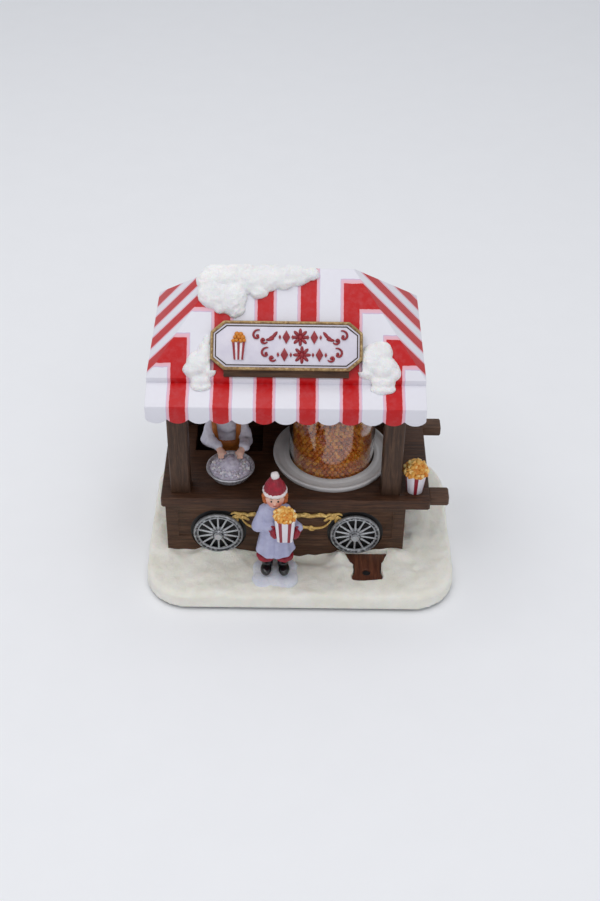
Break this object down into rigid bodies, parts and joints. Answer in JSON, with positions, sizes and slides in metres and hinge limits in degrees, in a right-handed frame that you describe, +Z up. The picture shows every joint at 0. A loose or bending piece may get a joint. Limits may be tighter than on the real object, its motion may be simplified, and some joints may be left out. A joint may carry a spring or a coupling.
{
  "type": "popcorn cart display piece",
  "caption": "Miniature winter-village popcorn cart with striped hipped roof, scalloped awning, spoked wheels, clear popper dome and snow base.",
  "frame": {"origin": "on the table, under the centre of the snow base", "axes": "+Z up, the serving side faces -Y, the shafts point to +X"},
  "size_m": [0.131, 0.092, 0.1328],
  "materials": {
    "snow": "white snow paint with fine iridescent glitter",
    "dark_plate": "matt moulded plastic",
    "foot_rubber": "matt",
    "screw_steel": "zinc plated",
    "cart_brown": "brown paint with brushed wood grain",
    "plank_brown": "reddish brown paint with wood grain",
    "wheel_silver": "silver paint with dark wash",
    "gilt": "antique gold paint",
    "striped_roof": "white with painted red stripes and pink borders",
    "sign_pale": "pale lilac paint",
    "sign_crimson": "crimson paint",
    "clear_dome": "clear moulded plastic",
    "popcorn": "amber foam beads",
    "dish_grey": "satin pale grey",
    "housing_black": "matt moulded plastic",
    "motor_steel": "plated steel",
    "fan_white": "moulded plastic",
    "cell_wrap": "printed sleeve, no marks",
    "contact_brass": "plated spring metal",
    "lead_red": "insulated wire",
    "figure_paint": "hand painted figure",
    "bowl_silver": "silver paint",
    "kernel_cream": "cream and amber paint",
    "carton_paint": "white with red stripes"
  },
  "bodies": {
    "cart": {"rubber_feet": "foot_rubber", "base_plate": "dark_plate", "base_screws": "screw_steel", "snow_base": "snow", "path_plank": "plank_brown", "wagon_body": "cart_brown", "wheel_front_left": "wheel_silver", "wheel_front_right": "wheel_silver", "wheel_rear_left": "wheel_silver", "wheel_rear_right": "wheel_silver", "wheel_pins": "wheel_silver", "scroll_ornament": "gilt", "counter_top": "cart_brown", "post_front_left": "cart_brown", "post_front_right": "cart_brown", "post_rear_left": "cart_brown", "post_rear_right": "cart_brown", "shaft_front": "cart_brown", "shaft_rear": "cart_brown", "back_wall": "cart_brown", "roof_frame": "cart_brown", "roof_shell": "striped_roof", "awning": "striped_roof", "sign_board": "gilt", "sign_frame": "gilt", "sign_face": "sign_pale", "sign_ornament": "sign_crimson", "roof_snow_ridge": "snow", "roof_snow_left": "snow", "roof_snow_right": "snow", "popper_dome": "clear_dome", "popcorn_fill": "popcorn", "dome_dish": "dish_grey", "blower_housing": "housing_black", "air_screen": "housing_black", "motor": "motor_steel", "motor_sleeve": "housing_black", "battery_box": "housing_black", "battery_cells": "cell_wrap", "battery_contacts": "contact_brass", "switch_body": "housing_black", "leads": "lead_red", "mixing_bowl": "bowl_silver", "bowl_popcorn": "kernel_cream", "vendor_figure": "figure_paint", "shelf_bucket": "carton_paint", "bucket_popcorn": "kernel_cream", "child_snow_pad": "snow", "child_figure": "figure_paint", "child_carton": "carton_paint", "carton_popcorn": "kernel_cream"},
    "impeller": {"motor_shaft": "screw_steel", "impeller": "fan_white"},
    "battery_door": {"battery_door": "dark_plate"},
    "switch_knob": {"switch_knob": "dark_plate"}
  },
  "joints": [
    {"name": "impeller_spin", "type": "hinge", "parent": "cart", "child": "impeller", "pos_m": [0.0131, 0.0083, 0.0282], "axis": [0, 0, 1], "continuous": true},
    {"name": "battery_door_hinge", "type": "hinge", "parent": "cart", "child": "battery_door", "pos_m": [-0.02585, 0.0313, 0.002], "axis": [1, 0, 0], "range_deg": [0, 80]},
    {"name": "switch_slide", "type": "slide", "parent": "cart", "child": "switch_knob", "axis": [1, 0, 0], "range_m": [0, 0.002]}
  ]
}
